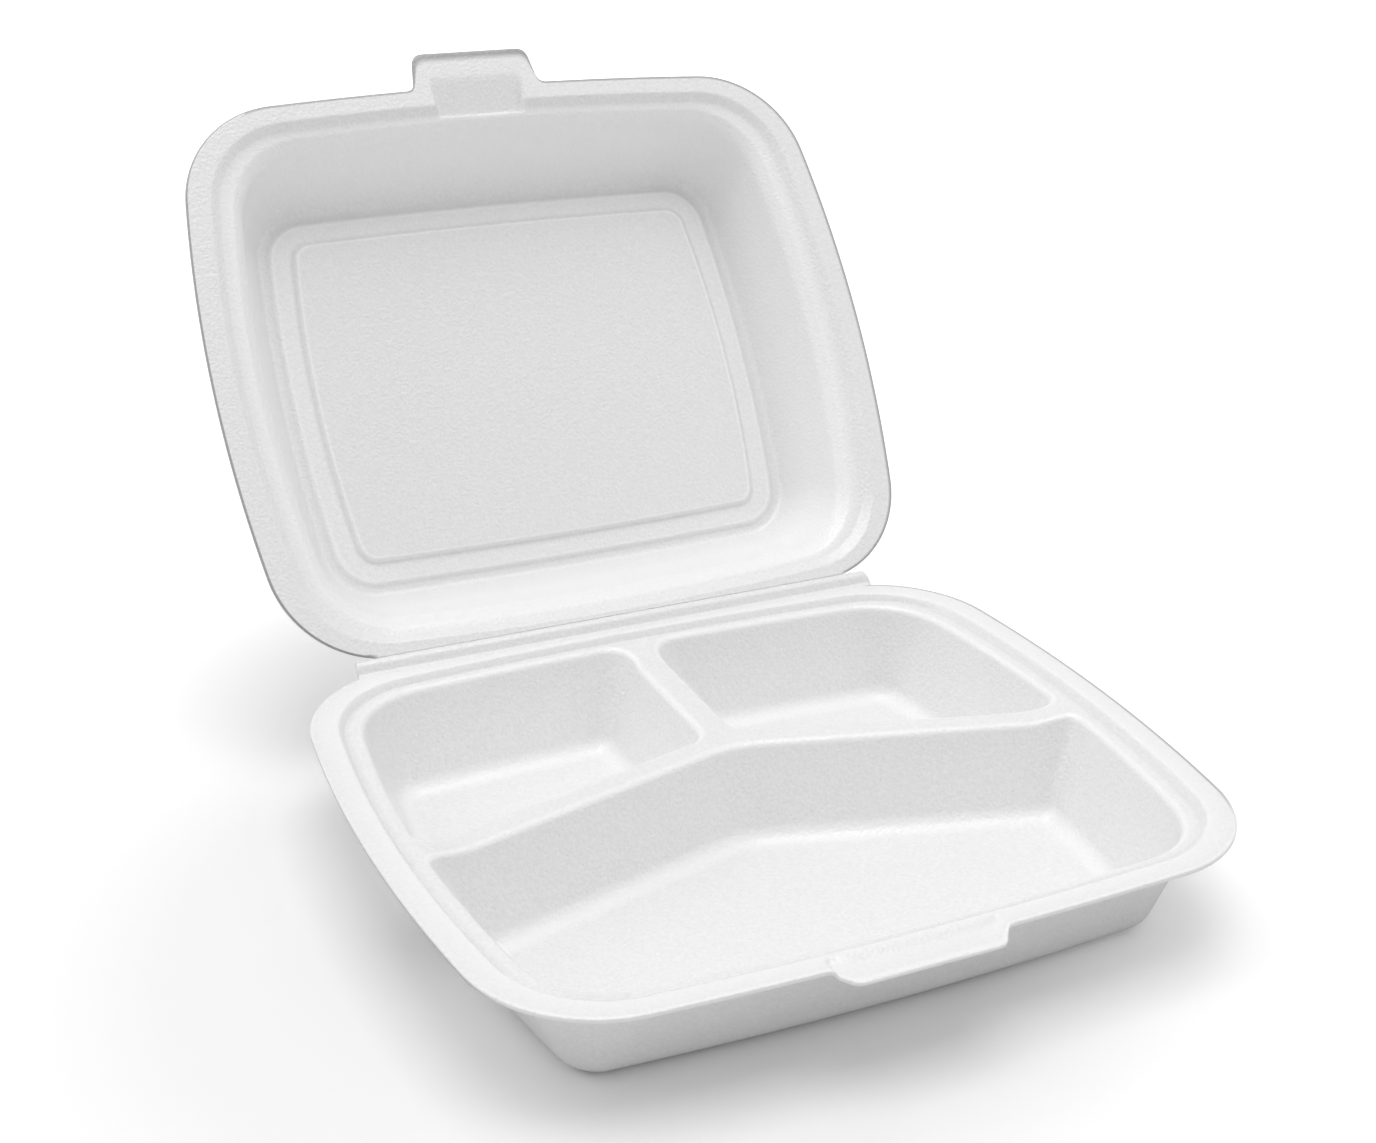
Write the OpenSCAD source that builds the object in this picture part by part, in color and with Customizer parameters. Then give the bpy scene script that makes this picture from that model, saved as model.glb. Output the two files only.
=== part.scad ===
// Foam clamshell meal container: a three-compartment tray and a hinged lid,
// thermoformed from one sheet. The lid stands open on the fold bead at the back.
// The latch side faces -Y, +Z is up, and the tray's base rests on z = 0.

/* [Tray] */
// Width of the tray across its flange
tray_w = 240; // [200:1:280]
// Depth of the tray across its flange, without the latch tab
tray_d = 196; // [170:1:230]
// Height of the flange's upper face above the table
tray_h = 34; // [28:1:50]
// Thickness of the foam sheet of the tray
tray_sheet = 2.4; // [1.6:0.1:3]

/* [Lid] */
// How far the lid's outline lies inside the tray's at the front and the sides
lid_inset = 4; // [1:0.5:6]
// Depth of the lid from its flange face to the groove around its top
lid_depth = 32; // [22:1:45]
// Thickness of the foam sheet of the lid
lid_sheet = 1.9; // [1.6:0.1:3]
// Angle between the two rims as the lid stands open
open_angle = 128; // [60:1:170]

/* [Rim] */
// Corner radius of the tray's outline
corner_r = 38; // [30:1:50]
// Bulge of the front and back edges over their length
end_bow = 4.8; // [3:0.1:8]
// Bulge of the left and right edges over their length
side_bow = 10; // [4:0.5:14]
// Width of the flat flange at the left and right
flange_side_w = 7.5; // [6:0.5:12]
// Width of the flat flange at the front and back
flange_end_w = 6; // [5:0.5:10]
// Drop from the flange to the ledge inside it
step_drop = 2; // [1:0.1:3]
// Level run of the slope between the flange and the ledge
step_run = 2; // [1:0.1:4]
// Width of the ledge at the left and right
ledge_side_w = 5; // [3:0.5:9]
// Width of the ledge at the front and back
ledge_end_w = 3; // [2:0.5:7]

/* [Compartments] */
// Width of the divider between the two back compartments, at its top
mid_divider_w = 9.5; // [6:0.5:16]
// Width of the two dividers behind the large compartment, at their tops
arm_divider_w = 7; // [5:0.5:12]
// How far the peak of the two arms lies behind the tray's middle
arm_peak_y = 23; // [10:0.5:35]
// Slope of the two arms, in degrees from straight across
arm_angle = 14.5; // [5:0.5:22]
// Radius of the bend where the two arms meet
arm_bend_r = 40; // [10:1:80]
// Drop from the ledge to the divider tops
divider_drop = 2; // [1:0.1:4]
// Level run of the compartment walls from the ledge to the floor
wall_run = 12; // [6:0.5:16]
// Corner radius of the compartments at the ledge
mouth_r = 8.5; // [6:0.5:16]
// Level run of the hollow between the walls and the floor, on the food side
floor_round = 5; // [3:0.5:8]

/* [Lid top] */
// Width of the border band on the lid's top
band_w = 166; // [140:1:170]
// Depth of the border band on the lid's top
band_d = 128; // [100:1:134]
// Bulge of the band's front and back edges over their length
band_end_bow = 1.2; // [0.6:0.1:4]
// Bulge of the band's left and right edges over their length
band_side_bow = 4.2; // [1:0.1:8]
// Corner radius of the border band
band_corner_r = 13; // [10:0.5:20]
// Width of the border band around the centre field
band_border = 7.5; // [6:0.5:12]
// Height of the border band above the groove around it, towards the food
band_rise = 0.9; // [0.4:0.1:1.4]
// Width of the groove between the border band and the lid's walls
groove_w = 4.4; // [4.2:0.1:7]
// Level run of the hollow between the lid's walls and the groove
groove_round = 2.6; // [1.5:0.1:3]
// Height of the centre field above its border band, towards the food
field_rise = 1.6; // [0.5:0.1:2]
// Level run of the slopes around the centre field and the border band
panel_run = 1.2; // [1:0.1:1.5]

/* [Latch] */
// Offset of both latch tabs from the middle of the front edge
latch_x = -5; // [-15:1:15]
// Width of the lid's tab at its tip
lid_tab_w = 41; // [34:1:46]
// Reach of the lid's tab past the lid's edge
lid_tab_out = 13; // [8:0.5:18]
// Width of the pocket in the lid's tab
pocket_w = 33; // [24:1:36]
// Depth of the pocket in the lid's tab
pocket_drop = 4.2; // [3.2:0.1:5]
// How far the pocket reaches in from the lid's edge
pocket_in = 11.2; // [10.8:0.1:11.8]
// Level run of the ramp that leads into the pocket from the tab
pocket_ramp = 10.2; // [4:0.2:10.4]
// Width of the tray's tab at its tip
tray_tab_w = 44; // [36:1:60]
// Reach of the tray's tab past the tray's edge
tray_tab_out = 6; // [3:0.5:8]
// Drop of the tray tab's face below the flange
tab_drop = 0.8; // [0.4:0.1:1.2]

/* [Fold bead] */
// Length of the fold bead along the back edge
bead_len = 183; // [150:1:190]
// Radius on which the lid's edge runs round the fold
fold_r = 3; // [2.6:0.1:5]
// Thickness of the sheet in the bead, where it was pressed
bead_sheet = 1.1; // [0.8:0.1:1.4]
// Gap between the lid and the tray at the fold and between the closed flanges
fold_gap = 0.3; // [0.2:0.05:0.5]

/* [Hidden] */
foam_white = "#f4f4f2";
// How far a cut passes the face that it opens
over = 1;
// Height of the thin slices that the compartments are hulled from
slice = 0.02;
// How far the divider cut stays inside the compartment walls
cut_ease = 0.2;
// Segments of each half side and each corner of the rim outlines
side_steps = 3;
corner_steps = 6;
// Sides of a full circle in the compartments' round corners
mouth_fn = 32;
// How far the back edge is cut straight for the fold, as a share of its bow
fold_cut_share = 0.58;
// Sideways offset of a sheet's two faces on the 45 degree step, as a share of its thickness
step_shift_share = 0.41;
// Sideways offset of a sheet's two faces on a drafted wall, as a share of its thickness
wall_shift_share = 1.12;
// Shares of the round between a wall and the floor at which it is sliced
round_shares = [1, 0.6, 0.3, 0];
// Directions from the fold axis to the corners of the bead's section
bead_angles = [118, 54, 22];
// Corner radius of the tabs' tips and the slant of their sides
tab_tip_r = 4;
tab_flare = 4;
// How far the tabs' roots reach in under the flanges, as a share of the flange
tab_root_share = 0.7;
// Slant of the pocket's sides
pocket_slant = 2.2;
// How far the pocket passes the lid's edge
pocket_out = 4;
// Corner radius of the pocket
pocket_r = 1.2;

half_w = tray_w / 2;
half_d = tray_d / 2;
fold_y = half_d - end_bow * fold_cut_share;
axis_y = fold_y + fold_r;
axis_z = tray_h + fold_gap / 2;
ledge_z = tray_h - step_drop;
divider_z = ledge_z - divider_drop;
wall_slope = wall_run / (ledge_z - tray_sheet);
rim_bows = [end_bow, side_bow];
band_bows = [band_end_bow, band_side_bow];
rim_side_w = flange_side_w + step_run + ledge_side_w;
rim_end_w = flange_end_w + step_run + ledge_end_w;

// The lid's outline when closed, about its own middle
lid_half_w = half_w - lid_inset;
lid_half_d = half_d - lid_inset / 2;
lid_mid_y = half_d - lid_half_d;
lid_z = tray_h + fold_gap;
lid_front_y = lid_mid_y - lid_half_d;

// A point on a circle, and the points of an arc without its last one
function on_circle(c, r, a) = [c.x + r * cos(a), c.y + r * sin(a)];
function arc(c, r, a0, a1, n) = [for (i = [0:n - 1]) on_circle(c, r, a0 + (a1 - a0) * i / n)];
// One quarter of an outline with bowed sides: side arc, corner arc, end arc
function quarter(hw, hd, r, bows) =
    let (re = (hw * hw + bows[0] * bows[0]) / (2 * bows[0]))
    let (rs = (hd * hd + bows[1] * bows[1]) / (2 * bows[1]))
    let (ce = [0, hd - re], cs = [hw - rs, 0], de = re - r, ds = rs - r)
    let (gap = norm(cs - ce), along = (de * de - ds * ds + gap * gap) / (2 * gap))
    let (u = (cs - ce) / gap, rise = sqrt(de * de - along * along))
    let (c = ce + u * along + [u.y, -u.x] * rise)
    let (ae = atan2(c.y - ce.y, c.x - ce.x), as = atan2(c.y - cs.y, c.x - cs.x))
    concat(arc(cs, rs, 0, as, side_steps), arc(c, r, as, ae, corner_steps),
           arc(ce, re, ae, 90, side_steps));
function turned(list) = [for (i = [len(list) - 1:-1:0]) list[i]];
function mirrored(list, sx, sy) = [for (p = list) [p.x * sx, p.y * sy]];
// A whole outline with bowed sides and round corners
function bowed(hw, hd, r, bows) =
    let (q = quarter(hw, hd, r, bows), tail = [for (i = [1:len(q) - 1]) q[i]])
    concat(q, [[0, hd]], turned(mirrored(tail, -1, 1)), mirrored(q, -1, -1), [[0, -hd]],
           turned(mirrored(tail, 1, -1)));
// The tray's and the lid's rim outlines, drawn in from their edges at the sides and the ends
function tray_ring(side_in, end_in) =
    bowed(half_w - side_in, half_d - end_in, corner_r - min(side_in, end_in), rim_bows);
function lid_ring(side_in, end_in) = [for (p = bowed(lid_half_w - side_in, lid_half_d - end_in,
    corner_r - lid_inset / 2 - min(side_in, end_in), rim_bows)) [p.x, p.y + lid_mid_y]];
// An outline cut straight at the back for the fold
function cut_back(list) = [for (p = list) [p.x, min(p.y, fold_y)]];
// An outline of the lid's walls: 0 at the ledge and 1 at the groove, grown by a distance
function wall_ring(share, grow) =
    let (hw = lid_half_w - rim_side_w, hd = lid_half_d - rim_end_w, r = corner_r - rim_end_w)
    let (foot_w = band_w / 2 + groove_w, foot_d = band_d / 2 + groove_w)
    [for (p = bowed(hw + (foot_w - hw) * share + grow, hd + (foot_d - hd) * share + grow,
        r + (band_corner_r + groove_w - r) * share + grow,
        rim_bows + (band_bows - rim_bows) * share)) [p.x, p.y + lid_mid_y]];
// An outline of the lid's border band, grown by a distance
function band_ring(grow) = [for (p = bowed(band_w / 2 + grow, band_d / 2 + grow,
    band_corner_r + grow, band_bows)) [p.x, p.y + lid_mid_y]];
function at_z(list, z) = [for (p = list) [p.x, p.y, z]];

// A solid through a stack of outlines with as many points each, from the top down
module loft(rings) {
    n = len(rings[0]);
    sides = [for (k = [0:len(rings) - 2], i = [0:n - 1])
        let (a = k * n + i, b = k * n + (i + 1) % n) each [[a, b, b + n], [a, b + n, a + n]]];
    top = [for (i = [n - 1:-1:0]) i];
    bottom = [for (i = [0:n - 1]) (len(rings) - 1) * n + i];
    polyhedron([for (ring = rings) each ring], concat([top], sides, [bottom]));
}

// The rim of the tray down to the undersides of the ledge and the dividers
module tray_pan() {
    shift = step_shift_share * tray_sheet;
    edge = cut_back(tray_ring(0, 0));
    slab = tray_ring(rim_side_w, rim_end_w);
    loft([at_z(edge, tray_h), at_z(edge, tray_h - tray_sheet),
          at_z(tray_ring(flange_side_w - shift, flange_end_w - shift), tray_h - tray_sheet),
          at_z(tray_ring(flange_side_w + step_run - shift, flange_end_w + step_run - shift),
               ledge_z - tray_sheet),
          at_z(slab, ledge_z - tray_sheet), at_z(slab, divider_z - tray_sheet)]);
}

// The hollow of the rim: the step, the ledge and the drop to the divider tops
module tray_hollow() {
    mouth = tray_ring(flange_side_w, flange_end_w);
    low = cut_ease + divider_drop * wall_slope;
    loft([at_z(mouth, tray_h + over), at_z(mouth, tray_h),
          at_z(tray_ring(flange_side_w + step_run, flange_end_w + step_run), ledge_z),
          at_z(tray_ring(rim_side_w + cut_ease, rim_end_w + cut_ease), ledge_z),
          at_z(tray_ring(rim_side_w + low, rim_end_w + low), divider_z)]);
}

// Plan of the part of the tray that a compartment may take: 0 large, -1 left, 1 right
module zone(side) {
    narrowing = 2 * divider_drop * wall_slope;
    arm = (arm_divider_w - narrowing) / 2;
    drop = tray_w * tan(arm_angle);
    lift = arm / cos(arm_angle);
    bend = [0, arm_peak_y - lift - arm_bend_r / cos(arm_angle)];
    if (side == 0)
        polygon(concat([[-tray_w, -tray_d], [tray_w, -tray_d], [tray_w, arm_peak_y - lift - drop]],
                       arc(bend, arm_bend_r, 90 - arm_angle, 90 + arm_angle, corner_steps),
                       [on_circle(bend, arm_bend_r, 90 + arm_angle),
                        [-tray_w, arm_peak_y - lift - drop]]));
    else
        scale([side, 1]) translate([(mid_divider_w - narrowing) / 2, 0])
            polygon([[0, arm_peak_y + lift], [tray_w, arm_peak_y + lift - drop],
                     [tray_w, tray_d], [0, tray_d]]);
}

// Mouth of a compartment at the ledge, with round corners, drawn in by a distance
module mouth(side, draw_in) {
    offset(delta = -draw_in, $fn = mouth_fn) offset(r = mouth_r, $fn = mouth_fn)
        offset(delta = -mouth_r) intersection() {
            polygon(tray_ring(rim_side_w, rim_end_w));
            zone(side);
        }
}

// One drafted compartment with a rounded floor, grown by a sheet's thickness for its outside
module cup(side, sheet, floor_z, top_z) {
    grow = wall_shift_share * sheet;
    round_run = floor_round + sheet / 2;
    hull() {
        translate([0, 0, top_z - slice]) linear_extrude(slice)
            mouth(side, wall_slope * (ledge_z - min(top_z, ledge_z)) - grow);
        for (s = round_shares) {
            wall_h = round_run * (1 - s) * (1 - s);
            foot = wall_slope * (ledge_z - tray_sheet - wall_h) + round_run * s * s;
            translate([0, 0, floor_z + wall_h]) linear_extrude(slice) mouth(side, foot - grow);
        }
    }
}

// Plan of a tab at the front edge, from its root to its rounded tip
module tab_plan(tip_w, tip_y, root_y) {
    root = tip_w / 2 + tab_flare;
    offset(r = tab_tip_r, $fn = mouth_fn) offset(delta = -tab_tip_r) translate([latch_x, 0])
        polygon([[-tip_w / 2, tip_y], [tip_w / 2, tip_y], [root, root_y], [-root, root_y]]);
}

// Section of the fold bead: a root on the flange, then up and over the fold axis
module bead_section() {
    outer_r = fold_r - fold_gap;
    inner_r = outer_r - bead_sheet;
    axis = [axis_y, axis_z];
    low = tray_h - tray_sheet;
    polygon(concat([[fold_y - over, low], [axis_y - inner_r, low]],
                   [for (a = bead_angles) on_circle(axis, inner_r, a)],
                   [for (a = turned(bead_angles)) on_circle(axis, outer_r, a)],
                   [[axis_y - outer_r, tray_h], [fold_y - over, tray_h]]));
}

module tray() {
    tab_root = -half_d + flange_end_w * tab_root_share;
    color(foam_white) difference() {
        union() {
            tray_pan();
            for (side = [-1, 0, 1]) cup(side, tray_sheet, 0, ledge_z - tray_sheet / 2);
            translate([0, 0, tray_h - tray_sheet - tab_drop]) linear_extrude(tray_sheet)
                tab_plan(tray_tab_w, -half_d - tray_tab_out, tab_root);
            rotate([90, 0, 90]) linear_extrude(bead_len, center = true) bead_section();
        }
        tray_hollow();
        for (side = [-1, 0, 1]) cup(side, 0, tray_sheet, ledge_z + over);
        translate([0, 0, tray_h - tab_drop]) linear_extrude(over + tab_drop)
            tab_plan(tray_tab_w, -half_d - tray_tab_out - over, tab_root);
    }
}

// The lid's sheet up to one of its faces: its food side for a sheet of 0, or its outside
module lid_shell(sheet, base_z) {
    shift = step_shift_share * sheet;
    grow = wall_shift_share * sheet / 2;
    top_z = lid_z + lid_depth + sheet;
    wall_z = lid_z + step_drop + sheet;
    wall_h = lid_depth - step_drop;
    flange = lid_ring(flange_side_w - shift, flange_end_w - shift);
    edge = sheet > 0 ? cut_back(lid_ring(0, 0)) : flange;
    band_z = top_z - band_rise;
    rounding = [for (s = round_shares) let (h = groove_round * (1 - s) * (1 - s))
        at_z(wall_ring(1 - h / wall_h, grow - groove_round * s * s), top_z - h)];
    loft(concat([at_z(band_ring(-band_border - grow), band_z - field_rise),
                 at_z(band_ring(panel_run - band_border - grow), band_z),
                 at_z(band_ring(-grow), band_z), at_z(band_ring(panel_run - grow), top_z)], rounding,
                [at_z(wall_ring(0, grow), wall_z),
                 at_z(lid_ring(flange_side_w + step_run - shift, flange_end_w + step_run - shift),
                      wall_z),
                 at_z(flange, lid_z + sheet), at_z(edge, lid_z + sheet), at_z(edge, base_z)]));
}

// Plan of the pocket in the lid's tab, grown by a distance, with its front drawn in by the ramp
module pocket_plan(grow, ramp) {
    front = lid_front_y - pocket_out + ramp;
    offset(r = pocket_r + grow, $fn = mouth_fn)
        translate([latch_x - pocket_w / 2 + pocket_r, front + pocket_r])
            square([pocket_w - 2 * pocket_r, lid_front_y + pocket_in - front - 2 * pocket_r]);
}

// The pocket's hollow, or its outside for a sheet's thickness
module pocket(sheet, base_z) {
    hull() {
        translate([0, 0, base_z]) linear_extrude(slice) pocket_plan(sheet / 2, 0);
        translate([0, 0, lid_z + pocket_drop + sheet - slice]) linear_extrude(slice)
            pocket_plan(sheet / 2 - pocket_slant, pocket_ramp);
    }
}

// The lid in its closed place over the tray
module closed_lid() {
    difference() {
        union() {
            lid_shell(lid_sheet, lid_z);
            translate([0, 0, lid_z]) linear_extrude(lid_sheet)
                tab_plan(lid_tab_w, lid_front_y - lid_tab_out,
                         lid_front_y + flange_end_w * tab_root_share);
            pocket(lid_sheet, lid_z + lid_sheet / 2);
        }
        lid_shell(0, lid_z - over);
        pocket(0, lid_z - over);
    }
}

module lid() {
    color(foam_white) translate([0, axis_y, axis_z]) rotate([-open_angle, 0, 0])
        translate([0, -axis_y, -axis_z]) closed_lid();
}

tray();
lid();
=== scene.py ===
"""White foam clamshell meal container, standing open.

The tray and the lid are drawn as one thermoformed sheet with all its rounds, where the CAD solids
have facets. Lengths are in millimetres until a mesh is made, and the frame is the CAD part's:
+Z up, the latch side at -Y, the tray's base on z = 0.
"""

from __future__ import annotations

import logging
import math
from collections.abc import Callable, Sequence
from dataclasses import dataclass, field
from enum import Enum
from functools import partial

import bmesh
import bpy
import numpy as np
from mathutils import Matrix
from mathutils.geometry import delaunay_2d_cdt

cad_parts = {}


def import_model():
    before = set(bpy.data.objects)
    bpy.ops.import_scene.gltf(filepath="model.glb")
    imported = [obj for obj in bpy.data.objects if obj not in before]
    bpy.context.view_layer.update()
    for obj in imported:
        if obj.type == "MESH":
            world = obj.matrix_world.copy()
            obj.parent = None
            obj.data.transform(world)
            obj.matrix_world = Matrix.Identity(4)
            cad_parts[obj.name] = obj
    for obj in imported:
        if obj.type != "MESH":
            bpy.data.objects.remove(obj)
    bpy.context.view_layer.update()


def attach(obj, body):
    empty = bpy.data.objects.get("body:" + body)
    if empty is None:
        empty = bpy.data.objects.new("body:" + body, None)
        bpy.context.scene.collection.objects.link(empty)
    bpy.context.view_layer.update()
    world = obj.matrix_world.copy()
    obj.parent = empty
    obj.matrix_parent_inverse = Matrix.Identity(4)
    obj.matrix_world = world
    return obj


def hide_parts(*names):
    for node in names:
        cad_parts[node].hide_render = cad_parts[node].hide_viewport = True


Array = np.ndarray
LOG = logging.getLogger("clamshell")
MM = 0.001
# Columns of an outline's row: half width, half depth, corner radius, bulge of the ends and of the
# sides, state of the skin, height.
HALF_W, HALF_D, CORNER, END_BOW, SIDE_BOW, SKIN, HEIGHT = range(7)
# Name of the mesh attribute with the skin's state, which paints light and shade into the colour:
# -1 crushed grey, the cut edge with painted shade along the outline and painted shade in creases,
# 0 plain, 1 whitened, painted highlights and painted light.
SKIN_AND_PAINTED_LIGHT = "skin"
# Radius of a disc whose edge stands for a straight line.
STRAIGHT = 1.0e5
# In metres: points of a mesh closer than the first are welded, edges shorter than the second go.
WELD_M, SHORTEST_M = 2.0e-6, 1.0e-7


class Face(Enum):
    """The two faces of the formed sheet."""

    FOOD = "food"
    OUTSIDE = "outside"


@dataclass(frozen=True)
class BoxSizes:
    """Driving sizes of the container in millimetres and degrees, as in the CAD part."""

    half_w: float = 120.0
    half_d: float = 98.0
    tray_h: float = 34.0
    tray_sheet: float = 2.4
    lid_inset: float = 4.0
    lid_depth: float = 32.0
    lid_sheet: float = 1.9
    open_angle: float = 128.0
    corner_r: float = 38.0
    end_bow: float = 4.8
    side_bow: float = 10.0
    flange_side_w: float = 7.5
    flange_end_w: float = 6.0
    step_drop: float = 2.0
    step_run: float = 2.0
    ledge_side_w: float = 5.0
    ledge_end_w: float = 3.0
    mid_divider_w: float = 9.5
    arm_divider_w: float = 7.0
    arm_peak_y: float = 23.0
    arm_angle: float = 14.5
    arm_bend_r: float = 40.0
    divider_drop: float = 2.0
    wall_run: float = 12.0
    mouth_r: float = 8.5
    floor_round: float = 5.0
    band_half_w: float = 83.0
    band_half_d: float = 64.0
    band_end_bow: float = 1.2
    band_side_bow: float = 4.2
    band_corner_r: float = 13.0
    band_border: float = 7.5
    band_rise: float = 0.9
    groove_w: float = 4.4
    groove_round: float = 2.6
    field_rise: float = 1.6
    panel_run: float = 1.2
    latch_x: float = -5.0
    lid_tab_w: float = 41.0
    lid_tab_out: float = 13.0
    pocket_w: float = 33.0
    pocket_drop: float = 4.2
    pocket_in: float = 11.2
    pocket_ramp: float = 12.4
    pocket_out: float = 4.0
    pocket_slant: float = 2.2
    tray_tab_w: float = 44.0
    tray_tab_out: float = 6.0
    tab_flare: float = 4.0
    bead_len: float = 183.0
    fold_r: float = 3.0
    bead_sheet: float = 1.1
    fold_gap: float = 0.3
    fold_cut_share: float = 0.58
    step_shift_share: float = 0.41
    wall_shift_share: float = 1.12

    @property
    def fold_y(self) -> float:
        """Where the flanges are cut straight for the fold."""
        return self.half_d - self.end_bow * self.fold_cut_share

    @property
    def axis(self) -> Array:
        """The fold axis as (y, z)."""
        return np.array([self.fold_y + self.fold_r, self.tray_h + self.fold_gap / 2])

    @property
    def ledge_z(self) -> float:
        """Height of the ledge inside the tray's flange."""
        return self.tray_h - self.step_drop

    @property
    def wall_slope(self) -> float:
        """Level run of the compartment walls per millimetre of height."""
        return self.wall_run / (self.ledge_z - self.tray_sheet)

    @property
    def rim_w(self) -> tuple[float, float]:
        """Width of flange, step and ledge together, at the sides and at the ends."""
        return (self.flange_side_w + self.step_run + self.ledge_side_w,
                self.flange_end_w + self.step_run + self.ledge_end_w)

    def tray_row(self, side_in: float, end_in: float, z: float, skin: float = 0.0) -> Array:
        """Row of the tray's rim outline drawn in from its edge at the sides and the ends."""
        return np.array([self.half_w - side_in, self.half_d - end_in,
                         self.corner_r - min(side_in, end_in), self.end_bow, self.side_bow, skin, z])

    def lid_row(self, side_in: float, end_in: float, z: float) -> Array:
        """Row of the lid's rim outline, drawn in from its edge.

        Args:
            side_in: distance in from the edge at the sides.
            end_in: the same at the ends.
            z: height.

        Returns:
            The row.
        """
        inset = self.lid_inset
        return np.array([self.half_w - inset - side_in, self.half_d - inset / 2 - end_in,
                         self.corner_r - inset / 2 - min(side_in, end_in),
                         self.end_bow, self.side_bow, 0.0, z])

    def lid_wall_row(self, share: float, grow: float, z: float, skin: float = 0.0) -> Array:
        """Row of the lid's walls, ruled from the ledge to the groove round the top.

        Args:
            share: 0 at the ledge and 1 at the groove.
            grow: distance outwards.
            z: height.
            skin: state of the skin.

        Returns:
            The row.
        """
        low = self.lid_row(*self.rim_w, z)
        low[CORNER] = self.corner_r - self.rim_w[1]
        high = self.band_row(self.groove_w, z)
        return low + (high - low) * share + np.array([grow, grow, grow, 0.0, 0.0, skin, 0.0])

    def band_row(self, grow: float, z: float, share: float = 1.0, skin: float = 0.0) -> Array:
        """Row of the border band of the lid's top.

        Args:
            grow: distance outwards.
            z: height.
            share: share of the size, for rings inside the band.
            skin: state of the skin.

        Returns:
            The row.
        """
        row = np.array([self.band_half_w + grow, self.band_half_d + grow, self.band_corner_r + grow,
                        self.band_end_bow, self.band_side_bow, 0.0, 0.0]) * share
        row[[SKIN, HEIGHT]] = skin, z
        return row


def soft_ramp(t: Array) -> Array:
    """A ramp from 0 at 0 to 1 at 1 that starts level: t squared over (t + softness), scaled to 1.

    Args:
        t: places along the ramp.

    Returns:
        Heights of the ramp.
    """
    softness = 0.12
    t = np.clip(t, 0.0, 1.0)
    return t**2 / (t + softness) * (1 + softness)


def smooth(t: Array) -> Array:
    """Smooth step from 0 to 1: t squared times (3 - 2 t), with t held between 0 and 1."""
    t = np.clip(t, 0.0, 1.0)
    return t * t * (3.0 - 2.0 * t)


def ramp(x: Array, span: tuple[float, float]) -> Array:
    """Smooth step from 0 where x is at the start of a span to 1 at its end."""
    start, end = span
    return smooth((x - start) / (end - start))


def bezier(a: Array, b: Array, c: Array, steps: int) -> Array:
    """Quadratic Bezier curves from a to c by way of b, with their steps along the first axis."""
    t = np.linspace(0, 1, steps).reshape(-1, *(1,) * a.ndim)
    return (1 - t)**2 * a + 2 * t * (1 - t) * b + t**2 * c


@dataclass(frozen=True)
class Spread:
    """Shares along each piece of a rim outline at which it has points."""

    side: Array
    corner: Array
    back: Array
    front: Array

    @classmethod
    def for_latch(cls, latch_x: float, half_tab: float, reach: float) -> Spread:
        """Even shares, with the front ones close together at the latch tab.

        Args:
            latch_x: middle of the tab.
            half_tab: half the length of edge that the tab takes.
            reach: half the length of the front edge between its corners.

        Returns:
            The shares of a rim outline.
        """
        # Spacing of the front's points away from the tab and at it, and the points elsewhere.
        step, close = 1.6, 0.55
        counts = {"side": 60, "corner": 30, "back": 100}
        wide = np.arange(-reach, reach, step)
        near = np.arange(-half_tab, half_tab, close) + latch_x
        front = np.sort(np.concatenate([wide[np.abs(wide - latch_x) > half_tab + step / 2], near]))
        even = {name: np.linspace(0, 1, n, endpoint=False) for name, n in counts.items()}
        return cls(front=(front + reach) / (2 * reach), **even)


@dataclass(frozen=True)
class BowedCircles:
    """The circles that make up outlines with bowed sides, for one quarter of each.

    Each side is the arc of a circle that passes through its middle and bulges by its bow over the
    half length. A corner is the circle that touches two such arcs from inside, so its centre lies
    at (arc radius - corner radius) from both arc centres.
    """

    end_r: Array
    end_y: Array
    side_r: Array
    side_x: Array
    corner_x: Array
    corner_y: Array
    side_angle: Array
    end_angle: Array

    @classmethod
    def of_rows(cls, rows: Array) -> BowedCircles:
        """Works out the circles of outlines.

        Args:
            rows: one row of sizes per outline.

        Returns:
            The circles, each value as a column with one line per outline.
        """
        hw, hd, r, eb, sb = (rows[:, i:i + 1] for i in range(SKIN))
        end_r, side_r = (hw**2 + eb**2) / (2 * eb), (hd**2 + sb**2) / (2 * sb)
        end_y, side_x = hd - end_r, hw - side_r
        gap = np.hypot(side_x, end_y)
        along = ((end_r - r)**2 - (side_r - r)**2 + gap**2) / (2 * gap)
        rise = np.sqrt((end_r - r)**2 - along**2)
        ux, uy = side_x / gap, -end_y / gap
        x, y = ux * along + uy * rise, end_y + uy * along - ux * rise
        return cls(end_r, end_y, side_r, side_x, x, y, np.arctan2(y, x - side_x),
                   np.arctan2(y - end_y, x))


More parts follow.
